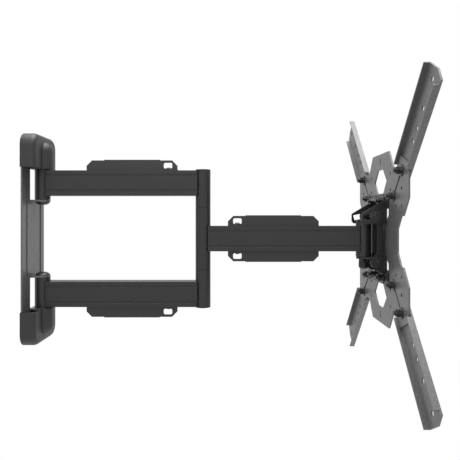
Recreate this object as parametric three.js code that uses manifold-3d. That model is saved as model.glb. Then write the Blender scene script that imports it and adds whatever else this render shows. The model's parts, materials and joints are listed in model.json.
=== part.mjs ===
// Full motion television wall mount: a wall plate, two first arms on a common elbow post,
// one second arm, a swivel and tilt head, and a screen plate with four diagonal arms.
// Millimetres, +Z up. Origin: centre of the wall plate's back face. +X points off the wall.
import * as THREE from "three";
import { mergeVertices } from "three/addons/utils/BufferGeometryUtils.js";
import Module from "manifold-3d";

const wasm = await Module();
wasm.setup();

// ---- driving dimensions ----
const GAP = 0.3;
const ROUND = 24;
const WALL_AXIS_X = 17;
const ARM_LENGTH = 257;
const ELBOW_X = WALL_AXIS_X + ARM_LENGTH;
const HEAD_X = ELBOW_X + ARM_LENGTH;
const ARM_Z = 88;
const ARM_HEIGHT = 40;
const ARM_HALF_WIDTH = 12;
const ARM_WALL = 3;
const ARM_END_INSET = 8.5;
const BARREL_R = 12;
const BOLT_R = 4;
const BORE_R = BOLT_R + GAP;

const PLATE = { thick: 2.5, halfWidth: 42.5, halfHeight: 158, corner: 16.5 };
const LUG = { inner: 58.5, outer: 110, thick: 3, halfWidth: 13.5 };
const COVER = { bottom: 110.4, top: 163.5, halfWidth: 46, depth: 22.8, corner: 19, edge: 7, wall: 2.2 };
const BULGE = { r: 17.6, archZ: 137.6 };
const POST = { seam: 50, top: 108, capTop: 110, washer: 0.8, shaftR: 6 };
const CLIP = { length: 144, middle: 88, start: 73, height: 16, halfWidth: 9, wall: 1.8, chamfer: 8.5 };
const HEAD = { top: 25.6, bottom: -28.6, washer: 0.8, lugThick: 3, webX: 544, webThick: 3, lugHalfWidth: 20 };
const TILT = { x: 543.5, z: 35.5, slotR: 71, slotEnd: 3.5, forward: 13, back: 3 };
const CHEEK = { inner: 27.5, outer: 30.4, front: 553 };
const EAR = { inner: 30.7, outer: 33.2 };
const BRACKET_BOLT = { y: 21, z: 60 };
const SCREEN = { back: 558.2, thick: 2.4 };
const DIAGONAL = { halfWidth: 24, start: 82, flangeEdge: 554, wall: 2.4, holes: [135, 150, 171, 200] };

const SCREEN_HOLE_R = 4.25;

const paint = (color, roughness, metalness) => new THREE.MeshStandardMaterial({ color, roughness, metalness });
const ARM_COAT = paint(0x3c3c3d, 0.42, 0.25);
const PLATE_COAT = paint(0x4b4b4c, 0.45, 0.3);
const BRACKET_COAT = paint(0x232324, 0.4, 0.3);
const COVER_PLASTIC = paint(0x38383a, 0.5, 0);
const BLACK_ZINC = paint(0x1d1d1e, 0.35, 0.7);
const STEEL = paint(0xa9abad, 0.3, 0.9);
const NYLON = paint(0x151515, 0.6, 0);

const mount = new THREE.Group();

function place(name, solid, material) {
  const source = solid.getMesh();
  const geometry = new THREE.BufferGeometry();
  geometry.setAttribute("position", new THREE.BufferAttribute(source.vertProperties, 3));
  geometry.setIndex(new THREE.BufferAttribute(source.triVerts, 1));
  const mesh = new THREE.Mesh(geometry, material);
  mesh.name = name;
  mount.add(mesh);
}

// A closed three.js geometry becomes a solid that can be joined and cut.
function solidOf(geometry) {
  geometry.deleteAttribute("normal");
  geometry.deleteAttribute("uv");
  const merged = mergeVertices(geometry, 1e-4);
  const vertProperties = new Float32Array(merged.attributes.position.array);
  const triVerts = new Uint32Array(merged.index.array);
  return new wasm.Manifold(new wasm.Mesh({ numProp: 3, vertProperties, triVerts }));
}

const join = (...solids) => solids.reduce((sum, solid) => sum.add(solid));
const cut = (solid, ...tools) => tools.reduce((rest, tool) => rest.subtract(tool), solid);

function outline(points, holes = []) {
  const shape = new THREE.Shape(points.map(([a, b]) => new THREE.Vector2(a, b)));
  shape.holes = holes;
  return shape;
}

function ring(a, b, radius, segments = 8) {
  const points = Array.from({ length: segments }, (_, i) => {
    const turn = (2 * Math.PI * i) / segments;
    return new THREE.Vector2(a + radius * Math.cos(turn), b + radius * Math.sin(turn));
  });
  return new THREE.Path(points);
}

const circle = (a, b, radius, segments) => new THREE.Shape(ring(a, b, radius, segments).getPoints());

function roundedRect(a0, a1, b0, b1, radius) {
  const shape = new THREE.Shape();
  shape.absarc(a1 - radius, b1 - radius, radius, 0, Math.PI / 2);
  shape.absarc(a0 + radius, b1 - radius, radius, Math.PI / 2, Math.PI);
  shape.absarc(a0 + radius, b0 + radius, radius, Math.PI, 1.5 * Math.PI);
  shape.absarc(a1 - radius, b0 + radius, radius, 1.5 * Math.PI, 2 * Math.PI);
  return shape;
}

const AXES = {
  x: [[0, 1, 0], [0, 0, 1], [1, 0, 0]],
  y: [[1, 0, 0], [0, 0, 1], [0, -1, 0]],
  z: [[1, 0, 0], [0, 1, 0], [0, 0, 1]],
};

// Extrudes an outline along one axis: (Y,Z) along x, (X,Z) along y, (X,Y) along z.
function extrude(shape, axis, from, to, curveSegments = 6) {
  const options = { depth: to - from, bevelEnabled: false, curveSegments };
  const geometry = new THREE.ExtrudeGeometry(shape, options);
  const basis = AXES[axis].map((column) => new THREE.Vector3(...column));
  geometry.applyMatrix4(new THREE.Matrix4().makeBasis(...basis));
  const shift = { x: [from, 0, 0], y: [0, to, 0], z: [0, 0, from] }[axis];
  return solidOf(geometry.translate(...shift));
}

function box(x0, x1, y0, y1, z0, z1) {
  const geometry = new THREE.BoxGeometry(x1 - x0, y1 - y0, z1 - z0);
  return solidOf(geometry.translate((x0 + x1) / 2, (y0 + y1) / 2, (z0 + z1) / 2));
}

const rod = (x, radius, z0, z1, segments = ROUND) => extrude(circle(x, 0, radius, segments), "z", z0, z1);

// A turned piece: profile of (radius, height) about the Z axis.
function turned(profile, x, segments = ROUND) {
  const points = profile.map(([radius, z]) => new THREE.Vector2(radius, z));
  const geometry = new THREE.LatheGeometry(points, segments);
  return solidOf(geometry.rotateX(Math.PI / 2).translate(x, 0, 0));
}

const flipZ = (solid) => solid.mirror([0, 0, 1]);
const flipY = (solid) => solid.mirror([0, 1, 0]);
const bothEnds = { upper: (solid) => solid, lower: flipZ };

// ---- wall plate, hinge bolts and covers ----
function lugTab(z0) {
  const tab = new THREE.Shape();
  tab.moveTo(0, -LUG.halfWidth);
  tab.lineTo(6, -LUG.halfWidth);
  tab.lineTo(WALL_AXIS_X, -BARREL_R);
  tab.absarc(WALL_AXIS_X, 0, BARREL_R, -Math.PI / 2, Math.PI / 2);
  tab.lineTo(6, LUG.halfWidth);
  tab.lineTo(0, LUG.halfWidth);
  tab.holes = [ring(WALL_AXIS_X, 0, BORE_R, 12)];
  return extrude(tab, "z", z0, z0 + LUG.thick, 5);
}

function wallPlate() {
  const shape = roundedRect(-PLATE.halfWidth, PLATE.halfWidth, -PLATE.halfHeight, PLATE.halfHeight, PLATE.corner);
  let plate = extrude(shape, "x", 0, PLATE.thick);
  const innerWindow = LUG.inner + LUG.thick;
  for (const side of [1, -1]) {
    plate = cut(plate, box(1.3, 4, side * 26.5 - 3, side * 26.5 + 3, -108, 108));
  }
  for (const end of [(solid) => solid, flipZ]) {
    plate = cut(plate, end(box(-1, 4, -LUG.halfWidth, LUG.halfWidth, innerWindow, LUG.outer)));
    plate = join(plate, end(lugTab(LUG.inner)), end(lugTab(LUG.outer)));
    for (const y of [-28, 0, 28]) {
      plate = cut(plate, end(extrude(roundedRect(y - 8, y + 8, 140, 149, 4.4), "x", -1, 4, 2)));
    }
  }
  return plate;
}

function coverShell(inset) {
  const { halfWidth, bottom, top, corner, edge, depth } = COVER;
  const w = halfWidth - inset - edge;
  const shape = new THREE.Shape();
  const low = bottom - 20;
  const r = corner - inset - edge;
  const high = top - inset - edge;
  shape.moveTo(-w, low);
  shape.lineTo(w, low);
  shape.absarc(w - r, high - r, r, 0, Math.PI / 2);
  shape.absarc(-w + r, high - r, r, Math.PI / 2, Math.PI);
  const bevel = { bevelThickness: edge, bevelSize: edge, bevelSegments: 3, curveSegments: 4 };
  const geometry = new THREE.ExtrudeGeometry(shape, { depth: depth - inset, ...bevel });
  const basis = AXES.x.map((column) => new THREE.Vector3(...column));
  geometry.applyMatrix4(new THREE.Matrix4().makeBasis(...basis));
  return solidOf(geometry.translate(-edge, 0, 0));
}

function coverBulge(inset) {
  const r = BULGE.r - inset;
  const profile = [[0, BULGE.archZ + r]];
  for (let step = 1; step <= 4; step += 1) {
    const turn = (Math.PI / 8) * step;
    profile.push([r * Math.sin(turn), BULGE.archZ + r * Math.cos(turn)]);
  }
  profile.push([r, COVER.bottom - 20], [0, COVER.bottom - 20]);
  return turned(profile.reverse(), WALL_AXIS_X, 24);
}

function cover() {
  const outer = join(coverShell(0), coverBulge(0));
  const inner = join(coverShell(COVER.wall), coverBulge(COVER.wall));
  const room = box(0, 60, -60, 60, COVER.bottom, 200);
  return outer.subtract(inner).intersect(room);
}

function hingeBolt() {
  const under = LUG.inner;
  const head = [[0, under - 5], [6, under - 4.6], [9.6, under - 2.8], [11, under - 0.8], [11, under]];
  return turned([...head, [BOLT_R, under], [BOLT_R, LUG.outer + 13], [0, LUG.outer + 13]], WALL_AXIS_X, 18);
}

function hexNut(x, radius, z0, z1) {
  return cut(rod(x, radius, z0, z1, 6), rod(x, BORE_R, z0 - 1, z1 + 1, 10));
}

function buildWallUnit() {
  place("wall_plate", wallPlate(), PLATE_COAT);
  const nutFrom = LUG.outer + LUG.thick;
  for (const [end, turn] of Object.entries(bothEnds)) {
    place(`${end}_cover`, turn(cover()), COVER_PLASTIC);
    place(`${end}_hinge_bolt`, turn(hingeBolt()), BLACK_ZINC);
    place(`${end}_hinge_nut`, turn(hexNut(WALL_AXIS_X, 7.5, nutFrom, nutFrom + 7)), STEEL);
  }
}

// ---- arms, their end castings and the elbow post ----
function armTube(x0, x1, zc) {
  const half = ARM_HEIGHT / 2;
  const inside = half - ARM_WALL;
  const side = ARM_HALF_WIDTH - ARM_WALL;
  let tube = box(x0, x1, -ARM_HALF_WIDTH, ARM_HALF_WIDTH, zc - half, zc + half);
  tube = cut(tube, box(x0 - 1, x1 + 1, -side, side, zc - inside, zc + inside));
  for (const y of [-ARM_HALF_WIDTH, ARM_HALF_WIDTH]) {
    for (const z of [zc - half + 6, zc + half - 9.5]) {
      tube = cut(tube, box(x0 - 1, x1 + 1, y - 1.2, y + 1.2, z, z + 3.5));
    }
  }
  const scoop = BARREL_R + GAP;
  const near = rod(x0 - ARM_END_INSET, scoop, zc - half - 1, zc + half + 1);
  return cut(tube, near, rod(x1 + ARM_END_INSET, scoop, zc - half - 1, zc + half + 1));
}

// A cast barrel with a tongue that is pressed into the end of an arm tube.
function barrel(x, bore, z0, z1, zc, towards) {
  const reach = x + towards * 42;
  const tongueY = ARM_HALF_WIDTH - ARM_WALL - GAP;
  const tongueZ = ARM_HEIGHT / 2 - ARM_WALL - GAP;
  const [xa, xb] = [Math.min(x, reach), Math.max(x, reach)];
  const casting = join(rod(x, BARREL_R, z0, z1), box(xa, xb, -tongueY, tongueY, zc - tongueZ, zc + tongueZ));
  return cut(casting, rod(x, bore, z0 - 1, z1 + 1, 12));
}

// A cable clip: foot on the arm, upright wall, and a hooked channel along its middle stretch.
function cableClip(base, windowX, x0) {
  const { length, middle, height, halfWidth, wall, chamfer } = CLIP;
  const x1 = x0 + length;
  const m0 = (x0 + x1) / 2 - middle / 2;
  const top = base + height;
  const face = [[x0, base], [x1, base], [x1, top - chamfer], [x1 - chamfer, top]];
  const upright = outline([...face, [x0 + chamfer, top], [x0, top - chamfer]]);
  const wide = roundedRect(windowX - 6.75, windowX + 6.75, base + 3.2, base + 12.2, 2.5);
  upright.holes = [new THREE.Path(wide.getPoints(4))];
  const wallSolid = extrude(upright, "y", -halfWidth, -halfWidth + wall);
  const foot = box(x0, x1, -halfWidth, halfWidth - 2, base, base + wall);
  const hookTop = top + 1;
  const roof = box(m0, m0 + middle, -halfWidth, halfWidth, hookTop - wall, hookTop);
  const lip = box(m0, m0 + middle, halfWidth - wall, halfWidth, base + 7, hookTop);
  const front = box(m0, m0 + middle, -halfWidth, -halfWidth + wall, base, hookTop);
  const screwHole = rod(windowX, 2.2, base - 1, base + wall + 1, 8);
  return cut(join(wallSolid, foot, roof, lip, front), screwHole);
}

function clipScrew(x, base) {
  const seat = base + CLIP.wall;
  const shank = [[0, base - 5], [1.9, base - 5], [1.9, seat]];
  return turned([...shank, [4.6, seat], [4.4, seat + 2], [2.6, seat + 3.4], [0, seat + 3.8]], x, 10);
}

function withScrewHole(tube, x, z0, z1) {
  return cut(tube, rod(x, 2.2, z0, z1, 8));
}

function buildFirstArms() {
  const x0 = WALL_AXIS_X + ARM_END_INSET;
  const x1 = ELBOW_X - ARM_END_INSET;
  const clipStart = WALL_AXIS_X + CLIP.start;
  const windowX = clipStart + CLIP.length - 15;
  const armTop = ARM_Z + ARM_HEIGHT / 2;
  const wallBarrel = () => barrel(WALL_AXIS_X, BORE_R, 62, 109.5, ARM_Z, 1);
  const postBarrel = () => barrel(ELBOW_X, POST.shaftR + GAP, POST.seam, POST.top, ARM_Z, -1);
  for (const [end, turn] of Object.entries(bothEnds)) {
    const tube = withScrewHole(armTube(x0, x1, ARM_Z), windowX, armTop - 4, armTop + 1);
    place(`${end}_first_arm`, turn(tube), ARM_COAT);
    place(`${end}_wall_barrel`, turn(wallBarrel()), ARM_COAT);
    place(`${end}_post_barrel`, turn(postBarrel()), ARM_COAT);
    place(`${end}_post_cap`, turn(rod(ELBOW_X, BARREL_R, POST.top, POST.capTop)), NYLON);
    place(`${end}_cable_clip`, turn(cableClip(armTop, windowX, clipStart)), COVER_PLASTIC);
    place(`${end}_clip_screw`, turn(clipScrew(windowX, armTop)), BLACK_ZINC);
  }
  place("elbow_shaft", rod(ELBOW_X, POST.shaftR, -POST.top, POST.top, 24), STEEL);
}

function buildSecondArm() {
  const x0 = ELBOW_X + ARM_END_INSET;
  const x1 = HEAD_X - ARM_END_INSET;
  const half = ARM_HEIGHT / 2;
  const clipStart = HEAD_X - CLIP.start - CLIP.length;
  const windowX = clipStart + 15;
  const collar = POST.seam - POST.washer;
  const tube = withScrewHole(armTube(x0, x1, 0), windowX, half - 4, half + 1);
  place("second_arm", withScrewHole(tube, windowX, -half - 1, -half + 4), ARM_COAT);
  place("elbow_barrel", barrel(ELBOW_X, POST.shaftR + GAP, -collar, collar, 0, 1), ARM_COAT);
  place("head_barrel", barrel(HEAD_X, BORE_R, HEAD.bottom, HEAD.top, 0, -1), ARM_COAT);
  for (const [end, turn] of Object.entries(bothEnds)) {
    const washer = cut(rod(ELBOW_X, BARREL_R - 0.6, collar, POST.seam), rod(ELBOW_X, POST.shaftR + GAP, 0, 60, 12));
    place(`${end}_elbow_washer`, turn(washer), NYLON);
    place(`${end}_second_clip`, turn(cableClip(half, windowX, clipStart)), COVER_PLASTIC);
    place(`${end}_second_clip_screw`, turn(clipScrew(windowX, half)), BLACK_ZINC);
  }
}

// ---- swivel head ----
function headLug(z0) {
  const tab = new THREE.Shape();
  const back = HEAD.webX + HEAD.webThick;
  tab.absarc(HEAD_X, 0, BARREL_R - 0.5, Math.PI / 2, 1.5 * Math.PI);
  tab.lineTo(back, -HEAD.lugHalfWidth);
  tab.lineTo(back, HEAD.lugHalfWidth);
  tab.holes = [ring(HEAD_X, 0, BORE_R, 12)];
  return extrude(tab, "z", z0, z0 + HEAD.lugThick, 6);
}

function cheek() {
  const { front, inner, outer } = CHEEK;
  const lobe = 10;
  const waist = 22;
  const shape = new THREE.Shape();
  shape.absarc(TILT.x, TILT.z, lobe, 0, 1.35 * Math.PI);
  shape.lineTo(HEAD.webX, waist);
  shape.lineTo(HEAD.webX, -waist);
  shape.absarc(TILT.x, -TILT.z, lobe, 0.65 * Math.PI, 2 * Math.PI);
  shape.lineTo(front, 0);
  shape.holes = [ring(TILT.x, TILT.z, BORE_R, 12), ring(TILT.x, -TILT.z, BORE_R, 12)];
  return extrude(shape, "y", -outer, -inner, 6);
}

function swivelBracket() {
  const topLug = HEAD.top + HEAD.washer;
  const bottomLug = HEAD.bottom - HEAD.washer - HEAD.lugThick;
  const webBack = HEAD.webX + HEAD.webThick;
  const narrow = HEAD.lugHalfWidth;
  const wide = box(HEAD.webX, webBack, -28, 28, -27, 27);
  const web = join(wide, box(HEAD.webX, webBack, -narrow, narrow, bottomLug, topLug + HEAD.lugThick));
  return join(web, headLug(topLug), headLug(bottomLug), cheek(), flipY(cheek()));
}

function swivelBolt() {
  const seat = HEAD.top + HEAD.washer + HEAD.lugThick;
  const head = [[7, seat], [7, seat + 1], [5.4, seat + 1.7], [0, seat + 1.7]];
  return turned([[0, -42], [BOLT_R, -42], [BOLT_R, seat], ...head], HEAD_X, 14);
}

function swivelCap(top) {
  const skin = [[0, top - 11], [5, top - 10.6], [7, top - 8.8], [7.5, top - 6.5], [7.5, top]];
  return turned([...skin, [5, top], [5, top - 7], [0, top - 7]], HEAD_X, 18);
}

// A bolt or nut on the Y axis, drawn from its seat outwards on the -Y side.
function crossPiece(z, pieces) {
  return join(...pieces.map(([radius, y0, y1, sides]) => extrude(circle(TILT.x, z, radius, sides), "y", y0, y1)));
}

function headFasteners() {
  const outerHead = [[10.2, -34.8, -EAR.outer, 14], [6.6, -38.6, -34.8, 6]];
  const innerHead = [[6.6, -CHEEK.inner, -23, 6]];
  const nutBore = (z) => extrude(circle(TILT.x, z, BORE_R, 10), "y", -60, 0);
  const innerNut = cut(crossPiece(TILT.z, [[6.6, -CHEEK.inner, -22, 6]]), nutBore(TILT.z));
  const outerNutParts = [[9.3, -34.8, -EAR.outer, 14], [6.8, -40, -34.8, 6]];
  const outerNut = cut(crossPiece(-TILT.z, outerNutParts), nutBore(-TILT.z));
  return {
    tilt_bolt: crossPiece(TILT.z, [[BOLT_R - 0.2, -36, -20, 10], ...outerHead]),
    tilt_nut: innerNut,
    pivot_bolt: crossPiece(-TILT.z, [[BOLT_R - 0.2, -42, -24, 10], ...innerHead]),
    pivot_nut: outerNut,
  };
}

function buildSwivelHead() {
  const nutTop = HEAD.bottom - HEAD.washer - HEAD.lugThick;
  place("swivel_bracket", swivelBracket(), BRACKET_COAT);
  place("swivel_bolt", swivelBolt(), BLACK_ZINC);
  place("swivel_nut", hexNut(HEAD_X, 7.4, nutTop - 5.3, nutTop), STEEL);
  place("swivel_cap", swivelCap(nutTop - 5.3), NYLON);
  for (const [name, solid] of Object.entries(headFasteners())) {
    place(`near_${name}`, solid, BLACK_ZINC);
    place(`far_${name}`, flipY(solid), BLACK_ZINC);
  }
}

// ---- tilt brackets, screen plate and diagonal arms ----
function tiltSlot() {
  const half = 3.9 + GAP;
  const angle = (degrees) => ((90 - degrees) * Math.PI) / 180;
  // The slot is fixed in the ear, which turns about the lower pivot as the screen tilts.
  const from = angle(TILT.back + TILT.slotEnd);
  const to = angle(-TILT.forward - TILT.slotEnd);
  const slot = new THREE.Shape();
  slot.absarc(TILT.x, -TILT.z, TILT.slotR + half, from, to, false);
  slot.absarc(TILT.x, -TILT.z, TILT.slotR - half, to, from, true);
  return extrude(slot, "y", -50, -10, 5);
}

function upperEar() {
  const shape = outline([[519.7, 27], [523, 23.3], [558.2, 23.3], [558.2, 59.1], [552.6, 59.1], [519.7, 39.3]]);
  return cut(extrude(shape, "y", -EAR.outer, -EAR.inner), tiltSlot());
}

function lowerEar() {
  const shape = new THREE.Shape();
  shape.moveTo(558.2, -27);
  shape.lineTo(537, -27);
  shape.absarc(TILT.x, -TILT.z, 10, 0.8 * Math.PI, 1.35 * Math.PI);
  shape.lineTo(552, -53.4);
  shape.lineTo(558.2, -53.4);
  shape.holes = [ring(TILT.x, -TILT.z, BORE_R, 12)];
  return extrude(shape, "y", -EAR.outer, -EAR.inner, 4);
}

function tiltBracket(ear, z0, z1) {
  const shape = roundedRect(-44, 44, z0, z1, 3);
  const boltZ = Math.sign(z0) * BRACKET_BOLT.z;
  shape.holes = [ring(-BRACKET_BOLT.y, boltZ, 3.3), ring(BRACKET_BOLT.y, boltZ, 3.3)];
  return join(extrude(shape, "x", SCREEN.back - 2.4, SCREEN.back, 3), ear, flipY(ear));
}

const QUARTER = [
  [82.5, 17], [97.6, 35.6], [106.5, 35.9], [127.5, 60.8], [127.5, 107.5], [94, 122],
  [78.5, 106.6], [62, 108.6], [43, 134.5],
];

function screenPlate() {
  const right = [...QUARTER.map(([y, z]) => [y, -z]).reverse(), ...QUARTER];
  const left = right.map(([y, z]) => [-y, z]).reverse();
  const rows = [[50, 50], [75, 50], [100, 50], [50, 75], [100, 75], [50, 100]];
  const relief = [[28, 26], [42, 37], [42, 47], [28, 47]];
  const hexagon = [[15, 71.3], [32, 90], [13, 109.3], [-13, 109.3], [-32, 90], [-15, 71.3]];
  const through = (shape) => extrude(shape, "x", SCREEN.back - 1, SCREEN.back + SCREEN.thick + 1);
  const slot = [[101, -2.2], [133, -2.2], [133, 2.2], [101, 2.2]].map(([u, v]) => onDiagonal(1, 1, u, v));
  const quarter = [through(outline(relief)), through(outline(slot))];
  rows.forEach(([y, z]) => quarter.push(through(circle(y, z, 2.9))));
  const boltHoles = [[BRACKET_BOLT.y, BRACKET_BOLT.z], [100, 100], [65.5, 65.5]];
  boltHoles.forEach(([y, z]) => quarter.push(through(circle(y, z, 3.3))));
  const half = [through(outline(hexagon)), through(roundedRect(-2, 2, 116, 128, 1.9))];
  const top = [...half, ...quarter, ...quarter.map(flipY)];
  const blank = extrude(outline([...right, ...left]), "x", SCREEN.back, SCREEN.back + SCREEN.thick);
  return cut(blank, ...top, ...top.map(flipZ));
}

// Points along a diagonal: u runs outwards, v across it, on the side of larger |z|.
function onDiagonal(sy, sz, u, v) {
  return [(sy * (u - v)) / Math.SQRT2, (sz * (u + v)) / Math.SQRT2];
}

function diagonalArm(sy, sz) {
  const { halfWidth: w, start, flangeEdge, wall, holes } = DIAGONAL;
  const front = SCREEN.back + SCREEN.thick;
  const strip = (points, x0, x1) => {
    const placed = points.map(([u, v]) => onDiagonal(sy, sz, u, v));
    return extrude(outline(placed), "x", x0, x1);
  };
  const through = (k, radius) => extrude(circle(sy * k, sz * k, radius), "x", front - 1, front + wall + 1);
  const webHoles = [...[65.5, 100].map((k) => through(k, 3.3)), ...holes.map((k) => through(k, SCREEN_HOLE_R))];
  const end = [[295, -w], [300.4, -6], [293, w]];
  const flat = [[start, 4 - w], [start + 4, -w], ...end, [start + 4, w], [start, w - 4]];
  const web = cut(strip(flat, front, front + wall), ...webHoles);
  const inner = strip([[134, w - wall], [293.2, w - wall], [293, w], [136, w]], flangeEdge, front);
  const outer = strip([[163, -w], [289, -w], [289, -w + wall], [161, -w + wall]], flangeEdge, front);
  return join(web, inner, outer);
}

// A carriage bolt whose nut and washer stand on the wall side of the plate.
function plateBolt(y, z, seat, end) {
  const tube = (radius, sides, x0, x1) => extrude(circle(y, z, radius, sides), "x", x0, x1);
  const stud = tube(3, 8, seat - 12, end);
  return join(stud, tube(5.7, 6, seat - 9, seat - 1.6), tube(8.3, 14, seat - 1.6, seat));
}

function buildScreenUnit() {
  place("upper_tilt_bracket", tiltBracket(upperEar(), 48, 70), BRACKET_COAT);
  place("lower_tilt_bracket", tiltBracket(lowerEar(), -70, -48), BRACKET_COAT);
  place("screen_plate", screenPlate(), PLATE_COAT);
  const front = SCREEN.back + SCREEN.thick;
  for (const [vertical, sz] of [["upper", 1], ["lower", -1]]) {
    for (const [side, sy] of [["near", -1], ["far", 1]]) {
      place(`${vertical}_${side}_screen_arm`, diagonalArm(sy, sz), PLATE_COAT);
      const seats = { inner: 65.5, outer: 100 };
      for (const [where, k] of Object.entries(seats)) {
        const bolt = plateBolt(sy * k, sz * k, SCREEN.back, front + DIAGONAL.wall);
        place(`${vertical}_${side}_${where}_bolt`, bolt, BLACK_ZINC);
      }
      const bracketBolt = plateBolt(sy * BRACKET_BOLT.y, sz * BRACKET_BOLT.z, SCREEN.back - 2.4, front);
      place(`${vertical}_${side}_bracket_bolt`, bracketBolt, BLACK_ZINC);
    }
  }
}

buildWallUnit();
buildFirstArms();
buildSecondArm();
buildSwivelHead();
buildScreenUnit();

export default mount;
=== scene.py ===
"""A full motion television wall mount, stretched out from the wall.

Each section is one piece, or one group of like pieces, in the order the mount is put together.
Lengths are in metres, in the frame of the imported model: +X off the wall, +Z up.
"""

import json
import math

import bpy
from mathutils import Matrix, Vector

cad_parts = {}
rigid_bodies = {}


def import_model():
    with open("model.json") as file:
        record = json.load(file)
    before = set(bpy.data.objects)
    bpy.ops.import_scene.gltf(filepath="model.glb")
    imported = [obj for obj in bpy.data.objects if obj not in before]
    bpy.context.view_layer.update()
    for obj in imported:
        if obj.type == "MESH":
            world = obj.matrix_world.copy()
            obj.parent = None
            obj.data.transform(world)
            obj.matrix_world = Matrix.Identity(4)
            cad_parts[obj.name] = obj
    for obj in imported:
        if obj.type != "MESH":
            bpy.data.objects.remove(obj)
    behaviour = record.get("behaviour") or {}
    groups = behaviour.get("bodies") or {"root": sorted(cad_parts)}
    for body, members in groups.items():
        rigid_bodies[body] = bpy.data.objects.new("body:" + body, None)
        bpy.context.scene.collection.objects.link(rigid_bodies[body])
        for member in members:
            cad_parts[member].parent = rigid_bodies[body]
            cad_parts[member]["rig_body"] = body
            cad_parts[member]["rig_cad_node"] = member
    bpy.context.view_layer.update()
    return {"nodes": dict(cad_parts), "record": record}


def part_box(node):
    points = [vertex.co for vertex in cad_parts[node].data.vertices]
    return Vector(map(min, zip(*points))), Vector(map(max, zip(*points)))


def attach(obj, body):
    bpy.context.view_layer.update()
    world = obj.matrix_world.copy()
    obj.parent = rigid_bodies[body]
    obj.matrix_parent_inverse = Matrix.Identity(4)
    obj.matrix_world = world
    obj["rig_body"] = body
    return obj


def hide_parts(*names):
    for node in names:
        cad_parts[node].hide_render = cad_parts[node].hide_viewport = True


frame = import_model()


# ---- View, light and floor ----
# A level camera beside the mount, a white studio all round it and a broad light overhead,
# so that dark satin faces turn pale where they are seen at a shallow angle.
def set_world(lit, seen):
    world = bpy.data.worlds.new("white_studio")
    world.use_nodes = True
    tree = world.node_tree
    tree.nodes.clear()
    out = tree.nodes.new("ShaderNodeOutputWorld")
    mix = tree.nodes.new("ShaderNodeMixShader")
    path = tree.nodes.new("ShaderNodeLightPath")
    tree.links.new(path.outputs["Is Camera Ray"], mix.inputs[0])
    for index, strength in ((1, lit), (2, seen)):
        background = tree.nodes.new("ShaderNodeBackground")
        background.inputs["Strength"].default_value = strength
        background.inputs["Color"].default_value = (1, 1, 1, 1)
        tree.links.new(background.outputs[0], mix.inputs[index])
    tree.links.new(mix.outputs[0], out.inputs["Surface"])
    bpy.context.scene.world = world


def softbox(name, place, turn, size, power):
    bpy.ops.object.light_add(type="AREA", location=place, rotation=turn)
    light = bpy.context.object
    light.name = name
    light.data.shape = "RECTANGLE"
    light.data.size, light.data.size_y = size
    light.data.energy = power


MM = 0.001
CAMERA_PLACE = (0.3238, -0.7877, 0.0377)
LENS_MM = 38.46
LENS_SHIFT = (-0.0089, -0.033)
bpy.ops.object.camera_add(location=CAMERA_PLACE, rotation=(math.radians(90), 0, 0))
camera = bpy.context.object
camera.data.lens = LENS_MM
camera.data.shift_x, camera.data.shift_y = LENS_SHIFT
camera.data.clip_start = 10 * MM
bpy.context.scene.camera = camera
bpy.context.scene.view_settings.view_transform = "Standard"

set_world(lit=0.8, seen=1.0)
softbox("overhead", (0.3, -0.1, 1.3), (0, 0, 0), (1.4, 1.4), power=34)
softbox("camera_side", (0.0, -1.5, 0.9), (math.radians(62), 0, 0), (1.2, 0.8), power=5)

FLOOR_SIZE = 1.3
FLOOR_PLACE = (0.3, 0, -0.95)
bpy.ops.mesh.primitive_plane_add(size=FLOOR_SIZE, location=FLOOR_PLACE)
floor = bpy.context.object
floor.name = "studio_floor"
floor_paint = bpy.data.materials.new("white_floor_paint")
floor_paint.use_nodes = True
paint_shader = floor_paint.node_tree.nodes["Principled BSDF"]
paint_shader.inputs["Base Color"].default_value = (0.9, 0.9, 0.9, 1)
paint_shader.inputs["Roughness"].default_value = 0.9
floor.data.materials.append(floor_paint)


# ---- Wall plate ----
# A steel plate, punched and bent, with four lugs folded out for the hinge bolts.
# It is powder coated: a satin skin with a fine pebbled grain.
def linear(code):
    """Turns an sRGB hex colour to linear."""
    channels = [int(code[i:i + 2], 16) / 255 for i in (1, 3, 5)]
    curve = [c / 12.92 if c <= 0.04045 else ((c + 0.055) / 1.055) ** 2.4 for c in channels]
    return (*curve, 1)


def add_node(tree, kind, links=None, **settings):
    """Adds one node, sets its sockets and properties by name, and links its inputs."""
    node = tree.nodes.new(kind)
    for name, value in settings.items():
        if hasattr(node, name):
            setattr(node, name, value)
        else:
            node.inputs[name.replace("_", " ")].default_value = value
    for name, source in (links or {}).items():
        tree.links.new(source, node.inputs[name])
    return node


MOTTLE_PER_METRE = 28.0
RAMP_ENDS = (0.36, 0.64)
SMOOTHER_BY = 0.05
ROUGHER_BY = 0.06


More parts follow.
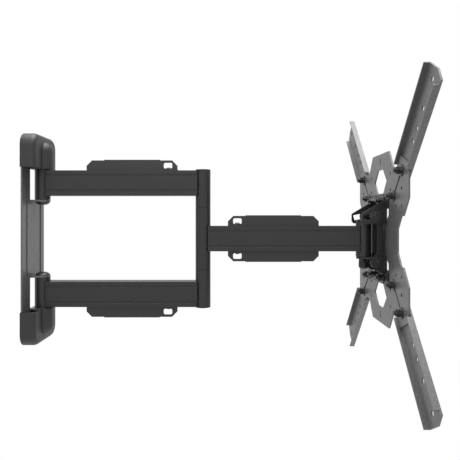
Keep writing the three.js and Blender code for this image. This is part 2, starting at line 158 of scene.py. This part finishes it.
def grained(name, dark, light, grain_mm, roughness, bump_mm, metallic=0.0, stretch=(1, 1, 1)):
    """A coated, moulded or plated surface: mottled colour, uneven gloss and a fine grain."""
    material = bpy.data.materials.new(name)
    material.use_nodes = True
    tree = material.node_tree
    shader = tree.nodes["Principled BSDF"]
    place = add_node(tree, "ShaderNodeTexCoord")
    turn = add_node(tree, "ShaderNodeMapping", {"Vector": place.outputs["Object"]}, Scale=stretch)
    fine = add_node(tree, "ShaderNodeTexNoise", {"Vector": turn.outputs[0]}, Detail=2.0)
    fine.inputs["Scale"].default_value = 1 / (grain_mm * MM)
    broad = add_node(tree, "ShaderNodeTexNoise", {"Vector": place.outputs["Object"]}, Detail=3.0)
    broad.inputs["Scale"].default_value = MOTTLE_PER_METRE
    ramp = add_node(tree, "ShaderNodeValToRGB", {"Fac": fine.outputs["Fac"]})
    for stop, position, colour in zip(ramp.color_ramp.elements, RAMP_ENDS, (dark, light)):
        stop.position = position
        stop.color = linear(colour)
    gloss = add_node(tree, "ShaderNodeMapRange", {"Value": broad.outputs["Fac"]})
    gloss.inputs["To Min"].default_value = roughness - SMOOTHER_BY
    gloss.inputs["To Max"].default_value = roughness + ROUGHER_BY
    bump = add_node(tree, "ShaderNodeBump", {"Height": fine.outputs["Fac"]}, Strength=0.5)
    bump.inputs["Distance"].default_value = bump_mm * MM
    tree.links.new(ramp.outputs["Color"], shader.inputs["Base Color"])
    tree.links.new(gloss.outputs["Result"], shader.inputs["Roughness"])
    tree.links.new(bump.outputs["Normal"], shader.inputs["Normal"])
    shader.inputs["Metallic"].default_value = metallic
    return material


def owner(node):
    """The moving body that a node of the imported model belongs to."""
    bodies = frame["record"]["behaviour"]["bodies"]
    return next(body for body, members in bodies.items() if node in members)


WELD_MM = 0.002
FLAT_DEGREES = 0.6
EDGE_SEGMENTS = 2


def finish_edges(node, material, edge_mm, crease=32):
    """Makes the finished piece from a welded copy of the CAD node: rounded edges, smooth curves."""
    bpy.ops.object.select_all(action="DESELECT")
    source = frame["nodes"][node]
    source.select_set(True)
    bpy.context.view_layer.objects.active = source
    bpy.ops.object.duplicate()
    piece = bpy.context.object
    piece.name = node + "_finish"
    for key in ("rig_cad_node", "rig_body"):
        del piece[key]
    bpy.ops.object.mode_set(mode="EDIT")
    bpy.ops.mesh.select_all(action="SELECT")
    bpy.ops.mesh.remove_doubles(threshold=WELD_MM * MM)
    bpy.ops.mesh.dissolve_limited(angle_limit=math.radians(FLAT_DEGREES))
    bpy.ops.object.mode_set(mode="OBJECT")
    bevel = piece.modifiers.new("rounded_edges", "BEVEL")
    bevel.width = edge_mm * MM
    bevel.segments = EDGE_SEGMENTS
    bevel.limit_method = "ANGLE"
    bevel.angle_limit = math.radians(crease)
    bevel.use_clamp_overlap = True
    bpy.ops.object.modifier_apply(modifier=bevel.name)
    bpy.ops.object.shade_smooth_by_angle(angle=math.radians(crease))
    level = piece.modifiers.new("flat_faces_stay_flat", "WEIGHTED_NORMAL")
    level.keep_sharp = True
    bpy.ops.object.modifier_apply(modifier=level.name)
    piece.data.materials.clear()
    piece.data.materials.append(material)
    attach(piece, owner(node))
    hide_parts(node)
    return piece


# The coat has a slight metallic sheen, and turns pale at a shallow angle.
# Its grain is drawn at 1.4 mm, coarser than real powder coat, so that it shows.
plate_coat = grained("textured_powder_coat", "#525253", "#6c6c6d", 1.4, 0.34, 0.02, metallic=0.35)
finish_edges("wall_plate", plate_coat, 0.5)

# ---- End covers ----
# Two moulded ABS shells that snap over the ends of the wall plate and hide its screws.
# A spark-eroded mould gives them an even matt grain, drawn at 1.1 mm, coarser than real, so that it shows.
cover_plastic = grained("grained_abs", "#1c1c1d", "#272728", 1.1, 0.42, 0.03)
for end in ("upper", "lower"):
    finish_edges(f"{end}_cover", cover_plastic, 0.6, crease=40)

# ---- Hinge bolts and nuts ----
# Dome-head steel bolts through the lugs, black zinc plated, with bright zinc nuts under the covers.
# Plating keeps a metal glint, dark or pale. Its mottle is drawn at 1 mm, coarser than real, so that it shows.
black_zinc = grained("black_zinc_plating", "#343436", "#4e4e51", 1.0, 0.26, 0.02, metallic=0.85)
bright_zinc = grained("bright_zinc_plating", "#9a9c9f", "#b8babd", 1.0, 0.30, 0.02, metallic=1.0)
for end in ("upper", "lower"):
    finish_edges(f"{end}_hinge_bolt", black_zinc, 0.3)
    finish_edges(f"{end}_hinge_nut", bright_zinc, 0.4)

# ---- Arms ----
# Extruded aluminium box sections with grooves along their faces, powder coated.
# The coat's grain is drawn out a little along the extrusion, at 1.2 mm, coarser than real, so that it shows.
ALONG_ARM = (0.35, 1, 1)
arm_coat = grained("satin_powder_coat", "#1a1a1b", "#242425", 1.2, 0.36, 0.02, stretch=ALONG_ARM)
# The groove walls that face up get a pale metallic colour: a painted highlight for light from above on the
# lips.
lip_painted_highlight = grained(
    "painted_highlight_groove_lip", "#77777a", "#939396", 1.2, 0.30, 0.02, metallic=0.8, stretch=ALONG_ARM
)
LIP_MARGIN = 2 * MM
SKIN_DEPTH = 1.6 * MM
FACES_UP = 0.5


def paint_lip_highlights(arm, low, high):
    """Paints the groove walls that face up, in the two side faces, pale: a painted highlight for light from
    above.
    """
    arm.data.materials.append(lip_painted_highlight)
    for face in arm.data.polygons:
        inside = low.z + LIP_MARGIN < face.center.z < high.z - LIP_MARGIN
        outer_skin = abs(face.center.y) > high.y - SKIN_DEPTH
        # Only faces pointing up get the pale painted highlight.
        if inside and outer_skin and face.normal.z > FACES_UP:
            face.material_index = 1


for node in ("upper_first_arm", "lower_first_arm", "second_arm"):
    paint_lip_highlights(finish_edges(node, arm_coat, 0.35), *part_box(node))

# ---- Hinge barrels ----
# Cast barrels, turned true and pressed into the arm ends.
# They are powder coated with the arms, so they have the same satin skin.
for end in ("upper", "lower"):
    finish_edges(f"{end}_wall_barrel", arm_coat, 0.5)
    finish_edges(f"{end}_post_barrel", arm_coat, 0.5)
finish_edges("elbow_barrel", arm_coat, 0.5)
finish_edges("head_barrel", arm_coat, 0.5)

# ---- Elbow shaft, washers and post caps ----
# A ground steel shaft in nylon thrust washers, closed at each end by a pressed nylon cap.
# Nylon is nearly black and dull, with a faint grain drawn at 0.9 mm, coarser than real, so that it shows.
black_nylon = grained("black_nylon", "#0e0e0e", "#181818", 0.9, 0.48, 0.02)
finish_edges("elbow_shaft", bright_zinc, 0.3)
for end in ("upper", "lower"):
    finish_edges(f"{end}_elbow_washer", black_nylon, 0.1)
    finish_edges(f"{end}_post_cap", black_nylon, 0.6)

# ---- Cable clips ----
# Moulded ABS channels with a hooked lip that holds the cables, in the covers' grained plastic.
# Each is fixed to its arm by one small plated screw.
for end in ("upper", "lower"):
    for clip, screw in (("cable_clip", "clip_screw"), ("second_clip", "second_clip_screw")):
        finish_edges(f"{end}_{clip}", cover_plastic, 0.4)
        finish_edges(f"{end}_{screw}", black_zinc, 0.15)

# ---- Swivel bracket ----
# A channel folded from steel plate that turns on the head barrel, with a bolt and nut, and a cap below.
# Its black powder coat is darker than the plates', with a grain drawn at 1.1 mm so that it shows.
bracket_coat = grained("black_powder_coat", "#0f0f10", "#1a1a1b", 1.1, 0.38, 0.03)
finish_edges("swivel_bracket", bracket_coat, 0.4)
finish_edges("swivel_bolt", black_zinc, 0.3)
finish_edges("swivel_nut", black_zinc, 0.4)
finish_edges("swivel_cap", black_nylon, 0.4)

# ---- Tilt and pivot bolts ----
# Flanged hexagon bolts: the upper pair clamps the slots, the lower pair is the tilt pivot.
# They are steel with the hinge bolts' black zinc plating, and each has its own nut.
for side in ("near", "far"):
    for piece in ("tilt_bolt", "tilt_nut", "pivot_bolt", "pivot_nut"):
        finish_edges(f"{side}_{piece}", black_zinc, 0.35)

# ---- Tilt brackets ----
# Steel plate with two ears folded out on each, the upper pair with a curved slot for the tilt.
# Both are bolted to the screen plate, and have the swivel bracket's black coat.
for end in ("upper", "lower"):
    finish_edges(f"{end}_tilt_bracket", bracket_coat, 0.4)

# ---- Screen plate and diagonal arms ----
# Pressed steel plate pierced with screen hole patterns, and four folded channels bolted to it.
# They have the wall plate's textured coat.
finish_edges("screen_plate", plate_coat, 0.4)
for end in ("upper", "lower"):
    for side in ("near", "far"):
        finish_edges(f"{end}_{side}_screen_arm", plate_coat, 0.4)
        for bolt in ("inner", "outer", "bracket"):
            finish_edges(f"{end}_{side}_{bolt}_bolt", black_zinc, 0.35)
